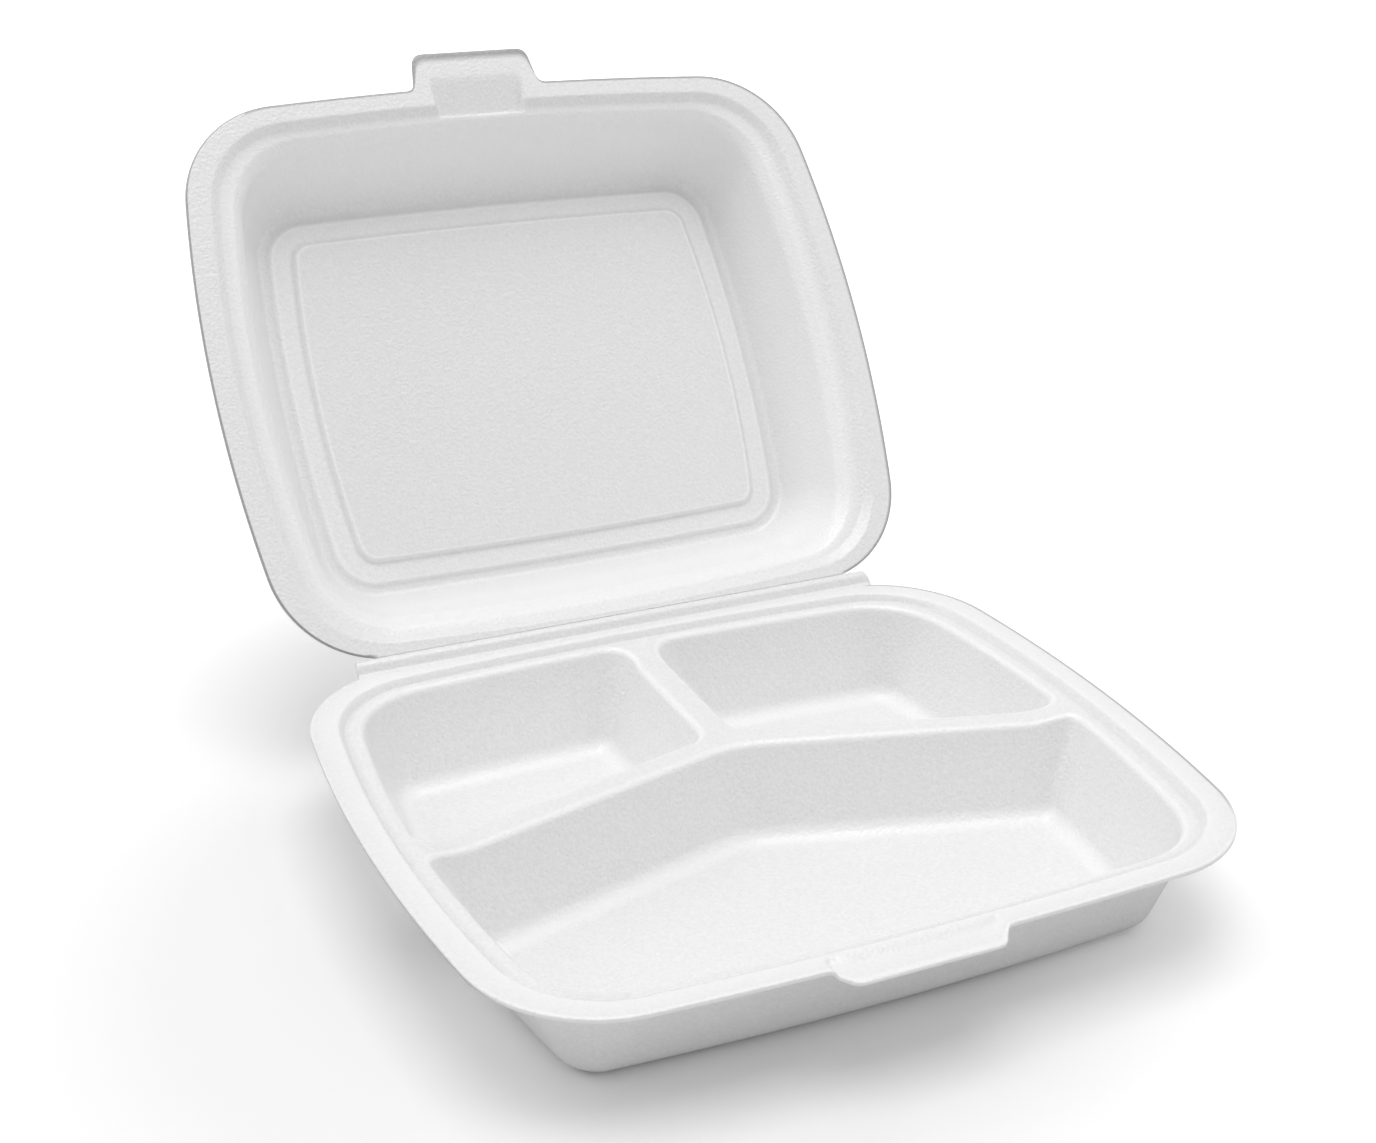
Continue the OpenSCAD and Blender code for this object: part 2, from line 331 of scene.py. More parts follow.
def outline_rings(rows: Array, spread: Spread) -> Array:
    """Closed outlines with bowed sides and round corners.

    Args:
        rows: one row of sizes per outline.
        spread: shares along the sides and corners.

    Returns:
        Points, outlines by points by 3, counter-clockwise from the right side's front end.
    """
    c = BowedCircles.of_rows(rows)
    r, z = rows[:, CORNER:CORNER + 1], rows[:, HEIGHT:]
    zero = np.zeros_like(z)
    cx, cy, a_side, a_end = c.corner_x, c.corner_y, c.side_angle, c.end_angle

    def arc(x: Array, y: Array, radius: Array, a0: Array, a1: Array, t: Array) -> Array:
        """Points of one arc per outline."""
        a = a0 + (a1 - a0) * t[None, :]
        return np.stack([x + radius * np.cos(a), y + radius * np.sin(a)], -1)

    half, full = math.pi, 2 * math.pi
    plan = np.concatenate([
        arc(c.side_x, zero, c.side_r, -a_side, a_side, spread.side),
        arc(cx, cy, r, a_side, a_end, spread.corner),
        arc(zero, c.end_y, c.end_r, a_end, half - a_end, spread.back),
        arc(-cx, cy, r, half - a_end, half - a_side, spread.corner),
        arc(-c.side_x, zero, c.side_r, half - a_side, half + a_side, spread.side),
        arc(-cx, -cy, r, half + a_side, half + a_end, spread.corner),
        arc(zero, -c.end_y, c.end_r, half + a_end, full - a_end, spread.front),
        arc(cx, -cy, r, full - a_end, full - a_side, spread.corner)], 1)
    return np.concatenate([plan, np.broadcast_to(z[..., None], (*plan.shape[:2], 1))], -1)


def rounded_path(nodes: Array, radii: Sequence[float], steps: int = 6) -> Array:
    """A path of rows or points with its bends rounded.

    A bend becomes a quadratic Bezier curve from a point on one leg, by way of the bend, to a point
    on the other leg. A guard point beside each curve keeps the flat next to it flat in shading.

    Args:
        nodes: corners of the path, one per line; the first and last columns measure its length.
        radii: distance from each inner bend to the ends of its curve, 0 for none.
        steps: points of each curve.

    Returns:
        The rounded path, one point per line.
    """
    # The most of a leg that a curve takes, as a share. Then, in lengths that the curve takes of a
    # leg: where its guard point lies, and how long the leg has to be to get one.
    most, guard_at, guard_room = 0.42, 1.5, 3.2
    lines = [nodes[:1]]
    for before, node, after, radius in zip(nodes[:-2], nodes[1:-1], nodes[2:], radii):
        if radius <= 0:
            lines.append(node[None])
            continue
        legs = [before - node, after - node]
        lengths = [math.hypot(leg[0], leg[-1]) for leg in legs]
        cut = min(radius, most * min(lengths))
        a, b = (node + leg * cut / length for leg, length in zip(legs, lengths))
        first, last = ([node + leg * guard_at * cut / length] if length > guard_room * cut else []
                       for leg, length in zip(legs, lengths))
        lines.append(np.array([*first, *bezier(a, node, b, steps), *last]))
    lines.append(nodes[-1:])
    return np.concatenate(lines)


def between(a: Array, b: Array, count: int, first: float = 0.2, last: float = 0.85) -> Array:
    """Rows spread from a share near a to a share near b, for detail that the flange carries."""
    return a + (b - a) * np.linspace(first, last, count)[:, None]


def disc_ring(discs: Array, fillets: Array, n_side: int, n_corner: int) -> Array:
    """Outline of the space that several discs share, with rounded corners.

    The fillet between one disc and the next is the circle that touches both from inside.

    Args:
        discs: centre x, centre y and radius of each side's disc, counter-clockwise.
        fillets: corner radius after each side.
        n_side: points of each side.
        n_corner: points of each corner.

    Returns:
        Points of the closed outline, points by 2.
    """
    after = np.roll(discs, -1, 0)
    ra, rb = discs[:, 2] - fillets, after[:, 2] - fillets
    span = discs[:, :2] - after[:, :2]
    gap = np.linalg.norm(span, axis=1)
    u = span / gap[:, None]
    along = (rb**2 - ra**2 + gap**2) / (2 * gap)
    rise = np.sqrt(rb**2 - along**2)
    centre = after[:, :2] + u * along[:, None] + np.stack([u[:, 1], -u[:, 0]], 1) * rise[:, None]
    leave = np.arctan2(*(centre - discs[:, :2]).T[::-1])
    enter = np.arctan2(*(centre - after[:, :2]).T[::-1])
    start = np.roll(enter, 1)

    def arcs(mid: Array, radius: Array, a0: Array, a1: Array, count: int) -> Array:
        """Points of one arc per side.

        Args:
            mid: centre of each arc.
            radius: its radius.
            a0: angle where it starts.
            a1: angle where it ends.
            count: points of each.

        Returns:
            Arcs by points by 2.
        """
        a = a0[:, None] + ((a1 - a0) % (2 * math.pi))[:, None] * np.linspace(
            0, 1, count, endpoint=False)
        return mid[:, None] + radius[:, None, None] * np.stack([np.cos(a), np.sin(a)], -1)

    sides = arcs(discs[:, :2], discs[:, 2], start, leave, n_side)
    corners = arcs(centre, fillets, leave, enter, n_corner)
    return np.concatenate([sides, corners], 1).reshape(-1, 2)


def add_object(name: str, data: bpy.types.ID) -> bpy.types.Object:
    """Adds an object with its data to the scene.

    Args:
        name: name of the object.
        data: its data.

    Returns:
        The object.
    """
    obj = bpy.data.objects.new(name, data)
    bpy.context.scene.collection.objects.link(obj)
    return obj


def put(obj: bpy.types.Object, axes: Sequence[Array], spot: Sequence[float]) -> None:
    """Places and turns an object.

    Args:
        obj: the object.
        axes: directions of its own three axes.
        spot: place in metres.
    """
    matrix = np.eye(4)
    matrix[:3] = np.column_stack([*axes, spot])
    obj.matrix_world = Matrix(matrix.tolist())


class SheetMesh:
    """Collects grids and triangles in millimetres, and makes one welded mesh of them."""

    def __init__(self) -> None:
        """Starts with no points."""
        self.points: list[Array] = []
        self.faces: list[list[list[int]]] = []
        self.skins: list[Array] = []
        self.count = 0

    def grid(self, points: Array, skin: Array | float = 0.0) -> None:
        """Adds closed rings of points, joined by quads.

        Args:
            points: rings by points by 3; each ring is closed.
            skin: state of the skin at the points, or at each ring.
        """
        rows, cols = points.shape[:2]
        index = np.arange(rows * cols).reshape(rows, cols) + self.count
        turned = np.roll(index, -1, 1)
        quads = np.stack([index[:-1], turned[:-1], turned[1:], index[1:]], -1).reshape(-1, 4)
        self.points.append(points.reshape(-1, 3))
        self.faces.append(quads.tolist())
        self.skins.append(np.broadcast_to(skin, (rows, cols)).ravel())
        self.count += rows * cols

    def triangles(self, points: Array, faces: Array) -> None:
        """Adds points with triangles between them, with a plain skin.

        Args:
            points: points by 3.
            faces: triangles as rows of three point numbers.
        """
        self.points.append(points)
        self.faces.append((faces + self.count).tolist())
        self.skins.append(np.zeros(len(points)))
        self.count += len(points)

    def build(self, name: str, place: Callable[[Array], Array]) -> bpy.types.Object:
        """Welds the parts and makes the object.

        Args:
            name: name of the object.
            place: moves the points to where the piece stands, in millimetres.

        Returns:
            A smooth-shaded mesh object at the origin.
        """
        mesh = bpy.data.meshes.new(name)
        points = place(np.concatenate(self.points)) * MM
        mesh.from_pydata(points.tolist(), [], sum(self.faces, []))
        skin = mesh.attributes.new(SKIN_AND_PAINTED_LIGHT, "FLOAT", "POINT")
        skin.data.foreach_set("value", np.concatenate(self.skins).astype(np.float32))
        bm = bmesh.new()
        bm.from_mesh(mesh)
        bmesh.ops.remove_doubles(bm, verts=bm.verts, dist=WELD_M)
        bmesh.ops.dissolve_degenerate(bm, edges=bm.edges, dist=SHORTEST_M)
        bmesh.ops.recalc_face_normals(bm, faces=bm.faces)
        loose = sum(not edge.is_manifold for edge in bm.edges)
        bm.to_mesh(mesh)
        bm.free()
        mesh.polygons.foreach_set("use_smooth", np.ones(len(mesh.polygons), bool))
        obj = add_object(name, mesh)
        LOG.info("%s: %d points, %d faces, %d open edges", name, len(mesh.vertices),
                 len(mesh.polygons), loose)
        return obj


def plate(outer: Array, holes: Sequence[Array],
          height: Callable[[Array], Array]) -> tuple[Array, Array]:
    """A sheet between an outer outline and the mouths in it.

    Args:
        outer: points of the outer outline, points by 3.
        holes: points of each mouth.
        height: height of the sheet at points in plan.

    Returns:
        Points by 3, and triangles as rows of three point numbers.
    """
    # Spacing of the inner points, their least distance from the outlines, and what counts as the same.
    spacing, clear, same = 2.2, 1.1, 1.0e-7
    loops = [outer, *holes]
    rim = np.concatenate(loops)
    x, y = np.meshgrid(*(np.arange(rim[:, i].min(), rim[:, i].max(), spacing) for i in (0, 1)))
    inner = np.stack([x.ravel(), y.ravel()], 1)

    def within(points: Array, loop: Array) -> Array:
        """Tells which points are in a loop: a level line from them crosses it an odd number of times.

        Args:
            points: points by 2.
            loop: points of a closed outline.

        Returns:
            One truth value per point.
        """
        (ax, ay), (bx, by) = loop[:, :2].T, np.roll(loop[:, :2], -1, 0).T
        x, y = points[:, :1], points[:, 1:2]
        across = (ay > y) != (by > y)
        meets = ax + (y - ay) * (bx - ax) / np.where(ay == by, 1.0, by - ay)
        return (across & (x < meets)).sum(1) % 2 == 1

    def in_sheet(points: Array) -> Array:
        """True for points inside the outer outline and outside every mouth."""
        return within(points, outer) & ~np.any([within(points, hole) for hole in holes], axis=0)

    inner = inner[in_sheet(inner)]
    inner = inner[np.linalg.norm(inner[:, None] - rim[None, :, :2], axis=2).min(1) > clear]
    numbers = np.split(np.arange(len(rim)), np.cumsum([len(loop) for loop in loops])[:-1])
    edges = np.concatenate([np.stack([ring, np.roll(ring, -1)], 1) for ring in numbers])
    plan = np.concatenate([rim[:, :2], inner])
    found = delaunay_2d_cdt(plan.tolist(), edges.tolist(), [], 0, same)
    if len(found[0]) != len(plan):
        raise ValueError("the mouths of the compartments touch the rim or each other")
    faces = np.array(found[2])
    points = np.concatenate([rim, np.column_stack([inner, height(inner)])])
    return points, faces[in_sheet(plan[faces].mean(1))]


@dataclass(frozen=True)
class Compartment:
    """One drafted compartment: the discs of its sides and its corner radii at mouth and floor."""

    discs: Array
    mouth: Array
    foot: Array
    mirrored: bool = False
    n_side: int = 44
    n_corner: int = 18
    lip_steps: int = 7
    floor_steps: int = 10
    # Length of wall that the rounded lip takes, on the food side and outside.
    lip_round: tuple[float, float] = (1.9, 0.35)
    # How much smaller the floor's corner radii get across its bend, per millimetre.
    corner_give: float = 0.6
    # Painted highlights: how much the skin is whitened in the middle of the two bends.
    lip_painted_highlight: float = 0.9
    floor_painted_highlight: float = 0.6
    # Shares down the wall, and across the floor to its middle, at which there are rings.
    wall_shares: tuple[float, ...] = (0.03, 0.3, 0.65, 0.95)
    flat_shares: tuple[float, ...] = (0.03, 0.35, 0.7, 1.0)

    def outline(self, inset: float, fillets: Array) -> Array:
        """Plan of the walls at a distance inside the mouth.

        Args:
            inset: distance inside the mouth.
            fillets: corner radius after each side.

        Returns:
            Points by 2.
        """
        discs = self.discs - np.array([0.0, 0.0, inset])
        points = disc_ring(discs, fillets, self.n_side, self.n_corner)
        return (points * np.array([-1.0, 1.0]))[::-1] if self.mirrored else points

    def painted_highlights(self) -> Array:
        """Painted highlight of each ring of the food side: half a sine wave over each of the two bends.

        Returns:
            A column with one value per ring.
        """
        lip, floor = (np.sin(np.linspace(0, math.pi, n)) for n in (self.lip_steps, self.floor_steps))
        wall, flat = (np.zeros(len(shares)) for shares in (self.wall_shares, self.flat_shares))
        return np.concatenate([lip * self.lip_painted_highlight, wall, floor * self.floor_painted_highlight, flat])[:, None]

    def surface(self, sizes: BoxSizes, face: Face, height: Callable[[Array], Array]) -> Array:
        """Rings of the compartment from the rounded edge of its mouth to the middle of its floor.

        The walls are ruled from the mouth's outline to the floor's. Quadratic Bezier curves round
        them off into the sheet above and into the floor.

        Args:
            sizes: sizes of the container.
            face: which face of the sheet.
            height: height of that face around the mouth, at points in plan.

        Returns:
            Rings by points by 3; the first ring lies in the sheet around the mouth.
        """
        outside = face is Face.OUTSIDE
        sheet = sizes.tray_sheet if outside else 0.0
        grow = sizes.wall_shift_share * sheet
        floor_z = sizes.tray_sheet - sheet
        round_run = sizes.floor_round + sheet / 2
        lip = self.lip_round[outside]
        top = self.outline(-grow, self.mouth + grow)
        foot = self.outline(sizes.wall_run - grow, self.foot + grow)
        inner = self.outline(sizes.wall_run - grow + round_run,
                             self.foot + grow - self.corner_give * round_run)
        top_z = sizes.ledge_z - sheet
        upper = np.column_stack([top, np.full(len(top), top_z)])
        lower = np.column_stack([foot, np.full(len(foot), floor_z)])
        flat = np.column_stack([inner, np.full(len(inner), floor_z)])
        length = np.linalg.norm(lower - upper, axis=1)[:, None]
        drop = ((top_z - height(top)) / (top_z - floor_z))[:, None]
        edge = upper + (lower - upper) * drop
        run = foot - top
        start = edge.copy()
        start[:, :2] -= lip * run / np.linalg.norm(run, axis=1)[:, None]
        below = edge + (lower - upper) * lip / length
        bend = lower + (upper - lower) * round_run / length
        wall = below + (bend - below) * np.array(self.wall_shares)[:, None, None]
        floor = flat + (flat.mean(0) - flat) * np.array(self.flat_shares)[:, None, None]
        return np.concatenate([bezier(start, edge, below, self.lip_steps), wall,
                               bezier(bend, lower, flat, self.floor_steps), floor])


@dataclass(frozen=True)
class Tab:
    """A latch tab at the front edge of a flange."""

    middle: float
    half_w: float
    out: float
    flare: float
    tip_r: float = 3.6
    root_r: float = 5.0
    # Length of plain edge that a root takes up, per radius.
    root_room: float = 1.5
    steps: int = 12

    @property
    def reach(self) -> float:
        """Half the length of plain edge that the tab's outline takes up."""
        return self.half_w + self.flare + self.root_room * self.root_r

    def moves(self, edge: Array) -> Array:
        """How the tab moves the points of a plain edge.

        The stretch of edge in reach of the tab is laid evenly along the tab's outline, a trapezium
        with rounded tips and hollow roots.

        Args:
            edge: points of the whole plain outline, points by 2.

        Returns:
            Moves in x and y, points by 2, and 0 away from the tab.
        """
        x = edge[:, 0] - self.middle
        on = (edge[:, 1] < 0) & (np.abs(x) < self.reach)
        corners = np.array([-self.reach, -self.half_w - self.flare, -self.half_w])
        corners = np.concatenate([corners, -corners[::-1]])
        front = edge[on]
        y = np.interp(corners + self.middle, front[:, 0], front[:, 1])
        y[2:4] = y[2:4].mean() - self.out
        path = rounded_path(np.column_stack([corners + self.middle, y]),
                            [self.root_r, self.tip_r, self.tip_r, self.root_r], self.steps)
        length = np.concatenate([[0], np.cumsum(np.linalg.norm(np.diff(path, axis=0), axis=1))])
        at = (x[on] + self.reach) / (2 * self.reach) * length[-1]
        moves = np.zeros_like(edge)
        moves[on] = np.stack([np.interp(at, length, path[:, i]) for i in (0, 1)], 1) - front
        return moves


@dataclass
class Tray:
    """The tray: flange, stepped rim, three compartments and the front tab."""

    sizes: BoxSizes
    lip_round: float = 1.0
    step_round: float = 0.45
    # The step's food side is steeper than the plain one, with a shallow gutter at its foot.
    step_in: float = 0.35
    gutter: float = 0.3
    # The ledge rises a little along the front, between these places.
    front_rise: float = 1.4
    front_rise_y: tuple[float, float] = (-70.0, -88.0)
    # Painted highlight on the step's upper edge, and painted shade in the crease at its foot.
    step_painted_highlight: float = 0.7
    foot_painted_shade: float = -0.16
    # How far out from the ledge's inner edge the rim's rings end, on the food side and underneath.
    rim_end: float = 2.75
    rim_end_under: float = 3.8
    # The flange thins out to its pressed edge.
    edge_sheet: float = 1.5
    # Width of the crushed rim that the cutting die leaves, greyed further as painted shade along the
    # outline, and where it gives way to a lip whitened as a painted highlight along the front.
    cut_shade_w: float = 0.9
    cut_front_y: tuple[float, float] = (-62.0, -92.0)
    front_painted_highlight: float = 0.8
    # The crushed band is painted shade that draws the outline: on the edge's underside on the left and
    # on its top on the right. The band's middle as a share of the edge's height, its change to both
    # sides up to a place, and half the band.
    cut_shade_height: float = 0.62
    cut_shade_turn: float = 0.38
    cut_shade_turn_x: float = 80.0
    cut_shade_share: float = 0.6
    # How far the flange is sunk at the tab, the width over which that ends at the tab's sides, and
    # the shares of the flange from its inner edge between which it starts.
    tab_sink: float = 1.1
    tab_side_w: float = 1.2
    tab_start: tuple[float, float] = (0.12, 0.28)
    # Radii of the tab's tips and roots.
    tab_tip_r: float = 2.4
    tab_root_r: float = 3.0
    # Corner radii of the compartments' floors at the rim, the middle divider and the bent divider.
    floor_r: tuple[float, float, float] = (6.5, 4.0, 3.4)
    # How much tighter the mouths are where the bent divider meets the rim, in the small
    # compartments and in the large one, and the floor's radius at its bend, per radius of the mouth.
    tip_in: tuple[float, float] = (2.5, 4.5)
    bend_share: float = 0.6
    # Distances from the ledge's inner edge between which the sheet drops to the dividers.
    divider_run: dict[Face, tuple[float, float]] = field(
        default_factory=lambda: {Face.FOOD: (0.6, 14.0), Face.OUTSIDE: (-2.9, -1.5)})
    compartments: list[Compartment] = field(init=False)

    def __post_init__(self) -> None:
        """Works out the sides of the three compartments."""
        s = self.sizes
        hw, hd = s.half_w - s.rim_w[0], s.half_d - s.rim_w[1]
        side_r = (hd**2 + s.side_bow**2) / (2 * s.side_bow)
        end_r = (hw**2 + s.end_bow**2) / (2 * s.end_bow)
        right, back = np.array([hw - side_r, 0.0, side_r]), np.array([0.0, hd - end_r, end_r])
        angle = math.radians(s.arm_angle)
        narrowing = 2 * s.divider_drop * s.wall_slope
        lift = (s.arm_divider_w - narrowing) / 2 / math.cos(angle)
        inner_x = (s.mid_divider_w - narrowing) / 2

        def line(x: float, y: float, nx: float, ny: float) -> Array:
            """Disc for a straight side through a point, with its outward direction."""
            return np.array([x - nx * STRAIGHT, y - ny * STRAIGHT, STRAIGHT])

        sine, cosine = math.sin(angle), math.cos(angle)
        flip = np.array([-1.0, 1.0, 1.0])
        arm = line(0.0, s.arm_peak_y - lift, sine, cosine)
        big = np.array([right, arm, arm * flip, right * flip, back * np.array([1.0, -1.0, 1.0])])
        small = np.array([right, back, line(inner_x, 0.0, -1.0, 0.0),
                          line(inner_x, s.arm_peak_y + lift, -sine, -cosine)])
        rim_r, middle_r, arm_r = self.floor_r
        rim, middle = (s.corner_r - min(s.rim_w), rim_r), (s.mouth_r, middle_r)
        bend = (s.arm_bend_r, s.arm_bend_r * self.bend_share)
        small_tip, big_tip = ((s.mouth_r - tighter, arm_r) for tighter in self.tip_in)
        big_mouth, big_foot = np.array([big_tip, bend, big_tip, rim, rim]).T
        small_mouth, small_foot = np.array([rim, middle, middle, small_tip]).T
        self.compartments = [Compartment(big, big_mouth, big_foot),
                             Compartment(small, small_mouth, small_foot),
                             Compartment(small, small_mouth, small_foot, mirrored=True)]

    def ledge_rise(self, y: Array) -> Array:
        """How much higher the ledge is at places along the depth."""
        return self.front_rise * ramp(y, self.front_rise_y)

    def height(self, plan: Array, face: Face) -> Array:
        """Height of the ledge and the dividers: the ledge's, and lower away from the rim.

        Args:
            plan: points in plan, points by 2.
            face: which face of the sheet; its outside drops at once.

        Returns:
            Heights of that face.
        """
        s = self.sizes
        row = s.tray_row(*s.rim_w, 0)[None]
        c = BowedCircles.of_rows(row)
        x, y = np.abs(plan[:, 0]), np.abs(plan[:, 1])
        off_x, off_y = x - c.corner_x[0], y - c.corner_y[0]
        turn = np.arctan2(off_y, off_x)
        in_corner = (turn > c.side_angle[0]) & (turn < c.end_angle[0])
        depth = np.where(in_corner, row[0, CORNER] - np.hypot(off_x, off_y), np.minimum(
            c.side_r[0] - np.hypot(x - c.side_x[0], y), c.end_r[0] - np.hypot(x, y - c.end_y[0])))
        sheet = s.tray_sheet if face is Face.OUTSIDE else 0.0
        ledge = s.ledge_z - sheet + self.ledge_rise(plan[:, 1])
        return ledge - s.divider_drop * ramp(depth, self.divider_run[face])

    def rim_rows(self) -> Array:
        """Rows of the rim from under its ledge, round the edge, to the ledge's inner side.

        Returns:
            One row of sizes per ring.
        """
        s = self.sizes
        shift = s.step_shift_share * s.tray_sheet
        under, low = s.tray_h - s.tray_sheet, s.ledge_z - s.tray_sheet

        def at_step(further: float, z: float, skin: float = 0.0) -> Array:
            """Row at a distance further in than the flange's inner edge."""
            return s.tray_row(s.flange_side_w + further, s.flange_end_w + further, z, skin)

        def at_ledge(out: float, z: float) -> Array:
            """Row at a distance further out than the ledge's inner edge."""
            return s.tray_row(s.rim_w[0] - out, s.rim_w[1] - out, z)

        edge, edge_under = s.tray_row(0, 0, s.tray_h), s.tray_row(0, 0, s.tray_h - self.edge_sheet)
        inner, inner_under = at_step(self.step_in, s.tray_h, self.step_painted_highlight), at_step(-shift, under)
        foot = at_step(s.step_run - self.step_in, s.ledge_z - self.gutter, self.foot_painted_shade)
        fine = between(edge, inner, count=9)
        fine_under = between(inner_under, edge_under, count=5, first=0.15, last=0.8)
        nodes = np.concatenate([
            [at_ledge(self.rim_end_under, low), at_step(s.step_run - shift, low), inner_under],
            fine_under, [edge_under, edge], fine, [inner, foot, at_ledge(self.rim_end, s.ledge_z)]])
        radii = [self.step_round, self.step_round, *[0.0] * len(fine_under), self.lip_round,
                 self.lip_round, *[0.0] * len(fine), self.step_round, self.step_round]
        return rounded_path(nodes, radii)

    def rim(self) -> tuple[Array, Array]:
        """Rings of the rim with the straight fold edge and the front tab.

        The fold edge takes off what stands behind the fold line, less and less towards the ledge.
        The tab pushes the front edge out, and the flange is sunk there. The ledge rises at the front.

        Returns:
            Rings by points by 3, and the skin's state at the points, with its painted highlights and
            shade.
        """
        s = self.sizes
        rows = self.rim_rows()
        tab = Tab(s.latch_x, s.tray_tab_w / 2, s.tray_tab_out, s.tab_flare, self.tab_tip_r,
                  self.tab_root_r)
        spread = Spread.for_latch(s.latch_x, tab.reach, s.half_w - s.corner_r)
        rings = outline_rings(rows, spread)
        end_in = (s.half_d - rows[:, HALF_D])[:, None]
        share = np.clip(1 - end_in / s.flange_end_w, 0.0, 1.0)
        edge = outline_rings(s.tray_row(0, 0, 0)[None], spread)[0, :, :2]
        rings[..., 1] -= np.maximum(edge[:, 1] - s.fold_y, 0.0) * share
        rings[..., :2] += tab.moves(edge) * share[..., None]
        down_step = np.clip((end_in - s.flange_end_w - self.step_in) / (s.step_run - 2 * self.step_in),
                            0.0, 1.0)
        rings[..., 2] += self.ledge_rise(rings[..., 1]) * down_step
        beside = tab.half_w + tab.flare - np.abs(rings[..., 0] - tab.middle)
        sunk = smooth(beside / self.tab_side_w) * ramp(share, self.tab_start)
        rings[..., 2] -= np.where(rings[..., 1] < 0, self.tab_sink * sunk, 0.0)
        # Skin at the edge: a lip whitened as a painted highlight along the front, elsewhere the crushed
        # cut edge with painted shade where it draws the outline.
        at_front = ramp(edge[:, 1], self.cut_front_y)
        off_fold = smooth((s.fold_y - edge[:, 1]) / self.cut_shade_w)
        height = np.clip((rows[:, HEIGHT:] - s.tray_h) / self.edge_sheet + 1, 0.0, 1.0)
        cut_shade_height = self.cut_shade_height + self.cut_shade_turn * np.clip(edge[:, 0] / self.cut_shade_turn_x, -1.0, 1.0)
        crushed_and_shade = 1 - smooth(np.abs(height - cut_shade_height) / self.cut_shade_share)
        edge_cut_and_painted_light = at_front * self.front_painted_highlight - (1 - at_front) * off_fold * crushed_and_shade
        at_edge = rows[:, HALF_W:HALF_W + 1] > s.half_w - self.cut_shade_w
        return rings, np.where(at_edge, edge_cut_and_painted_light, rows[:, SKIN:SKIN + 1])

    def build(self) -> bpy.types.Object:
        """Makes the tray's mesh: rim, ledge with dividers, compartments, and the same underneath.

        Returns:
            The tray.
        """
        s = self.sizes
        sheet = SheetMesh()
        rings, skin = self.rim()
        sheet.grid(rings, skin)
        for face, outer in ((Face.FOOD, rings[-1]), (Face.OUTSIDE, rings[0])):
            height = partial(self.height, face=face)
            cups = [c.surface(s, face, height) for c in self.compartments]
            for compartment, cup in zip(self.compartments, cups):
                sheet.grid(cup, compartment.painted_highlights() if face is Face.FOOD else 0.0)
            sheet.triangles(*plate(outer, [cup[0] for cup in cups], height))
        return sheet.build("foam_tray", lambda points: points)


